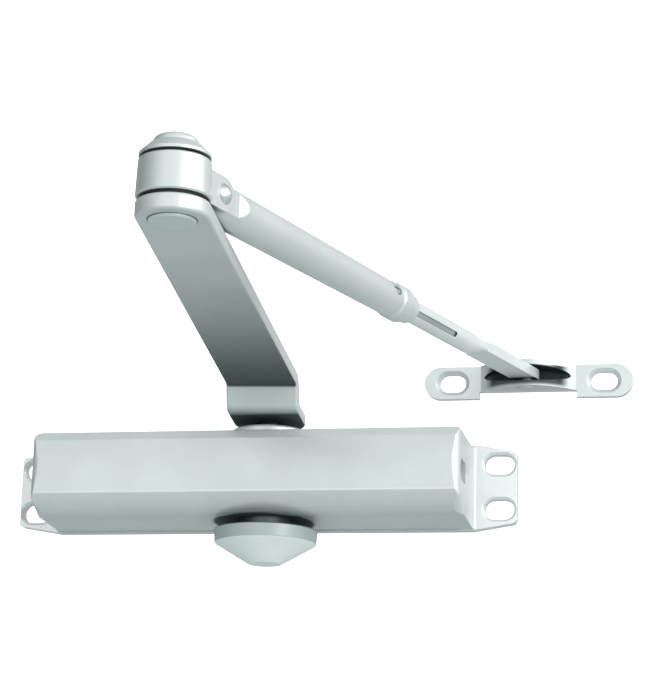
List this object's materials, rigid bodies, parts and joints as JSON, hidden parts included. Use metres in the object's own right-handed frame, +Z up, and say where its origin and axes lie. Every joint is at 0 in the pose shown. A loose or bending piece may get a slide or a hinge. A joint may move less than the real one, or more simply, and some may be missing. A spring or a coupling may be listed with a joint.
{
  "type": "door closer",
  "caption": "Surface-mounted rack-and-pinion door closer with slotted end lugs, conical spindle cap, jointed two-piece arm with telescopic forearm and swivelling foot bracket.",
  "frame": {"origin": "centre of the rectangle of slotted screw holes, on the plane of the door face", "axes": "+Z up, +X to the right along the body seen from the front, +Y into the door, so the front of the body faces -Y"},
  "size_m": [0.2642, 0.281, 0.0967],
  "materials": {
    "casting_paint": "pale silver-grey paint, satin",
    "cap_plastic": "moulded, pale silver-grey, satin",
    "arm_paint": "pale silver-grey paint over steel, satin",
    "plug_steel": "turned, zinc plated",
    "screw_steel": "zinc plated",
    "rivet_steel": "bright, riveted over",
    "washer_dark": "dark wear washer",
    "hardened_steel": "hardened and ground, oiled",
    "piston_iron": "machined, oiled",
    "spring_steel": "drawn wire, oiled",
    "bearing_bronze": "sintered bronze",
    "seal_rubber": "black nitrile"
  },
  "bodies": {
    "closer_body": {"body_casting": "casting_paint", "cylinder_end_plug": "plug_steel", "end_plug_seal": "seal_rubber", "upper_bearing_plug": "plug_steel", "lower_bearing_plug": "plug_steel", "upper_bushing": "bearing_bronze", "lower_bushing": "bearing_bronze", "upper_seal": "seal_rubber", "lower_seal": "seal_rubber", "spindle_cap": "cap_plastic", "closing_spring": "spring_steel"},
    "arm_and_spindle": {"pinion_shaft": "hardened_steel", "main_arm": "arm_paint", "arm_washer": "screw_steel", "arm_screw": "screw_steel", "elbow_stud": "rivet_steel", "elbow_washer": "washer_dark", "elbow_cap": "arm_paint"},
    "piston_unit": {"piston": "piston_iron", "check_ball": "hardened_steel", "check_valve_plug": "bearing_bronze"},
    "sweep_screw": {"sweep_valve_screw": "screw_steel"},
    "latch_screw": {"latch_valve_screw": "screw_steel"},
    "knuckle": {"elbow_knuckle": "arm_paint", "tilt_pin": "rivet_steel"},
    "forearm": {"forearm_sleeve": "arm_paint", "lock_screw": "screw_steel"},
    "rod": {"adjusting_rod": "arm_paint"},
    "foot": {"foot_bracket": "arm_paint", "foot_rivet": "rivet_steel"}
  },
  "joints": [
    {"name": "arm_swing", "type": "hinge", "parent": "closer_body", "child": "arm_and_spindle", "pos_m": [0.006, -0.024, 0], "axis": [0, 0, 1], "range_deg": [0, 180], "stiffness_Nm_per_rad": 4, "springref_deg": -34.38},
    {"name": "piston_travel", "type": "slide", "parent": "closer_body", "child": "piston_unit", "axis": [1, 0, 0], "range_m": [-0.0236, 0], "deforming": ["closing_spring"]},
    {"name": "sweep_screw_turn", "type": "hinge", "parent": "closer_body", "child": "sweep_screw", "pos_m": [0.0848, -0.04, 0.0004], "axis": [1, 0, 0], "range_deg": [0, 360]},
    {"name": "latch_screw_turn", "type": "hinge", "parent": "closer_body", "child": "latch_screw", "pos_m": [0.0848, -0.031, 0.0004], "axis": [1, 0, 0], "range_deg": [0, 360]},
    {"name": "elbow_swing", "type": "hinge", "parent": "arm_and_spindle", "child": "knuckle", "pos_m": [0.02958, -0.26887, 0.0469], "axis": [0, 0, 1], "range_deg": [-150, 10]},
    {"name": "forearm_tilt", "type": "hinge", "parent": "knuckle", "child": "forearm", "pos_m": [0.03507, -0.25152, 0.0469], "axis": [0.9533, -0.3019, 0], "range_deg": [0, 12]},
    {"name": "rod_length", "type": "slide", "parent": "forearm", "child": "rod", "axis": [0.3019, 0.9533, 0], "range_m": [-0.02, 0.04]},
    {"name": "foot_swivel", "type": "hinge", "parent": "rod", "child": "foot", "pos_m": [0.1122, -0.008, 0.0469], "axis": [0, 0, 1], "range_deg": [-45, 45]}
  ],
  "couplings": [
    {"joint": "piston_travel", "follows": "arm_swing", "m_per_rad": -0.0075}
  ]
}
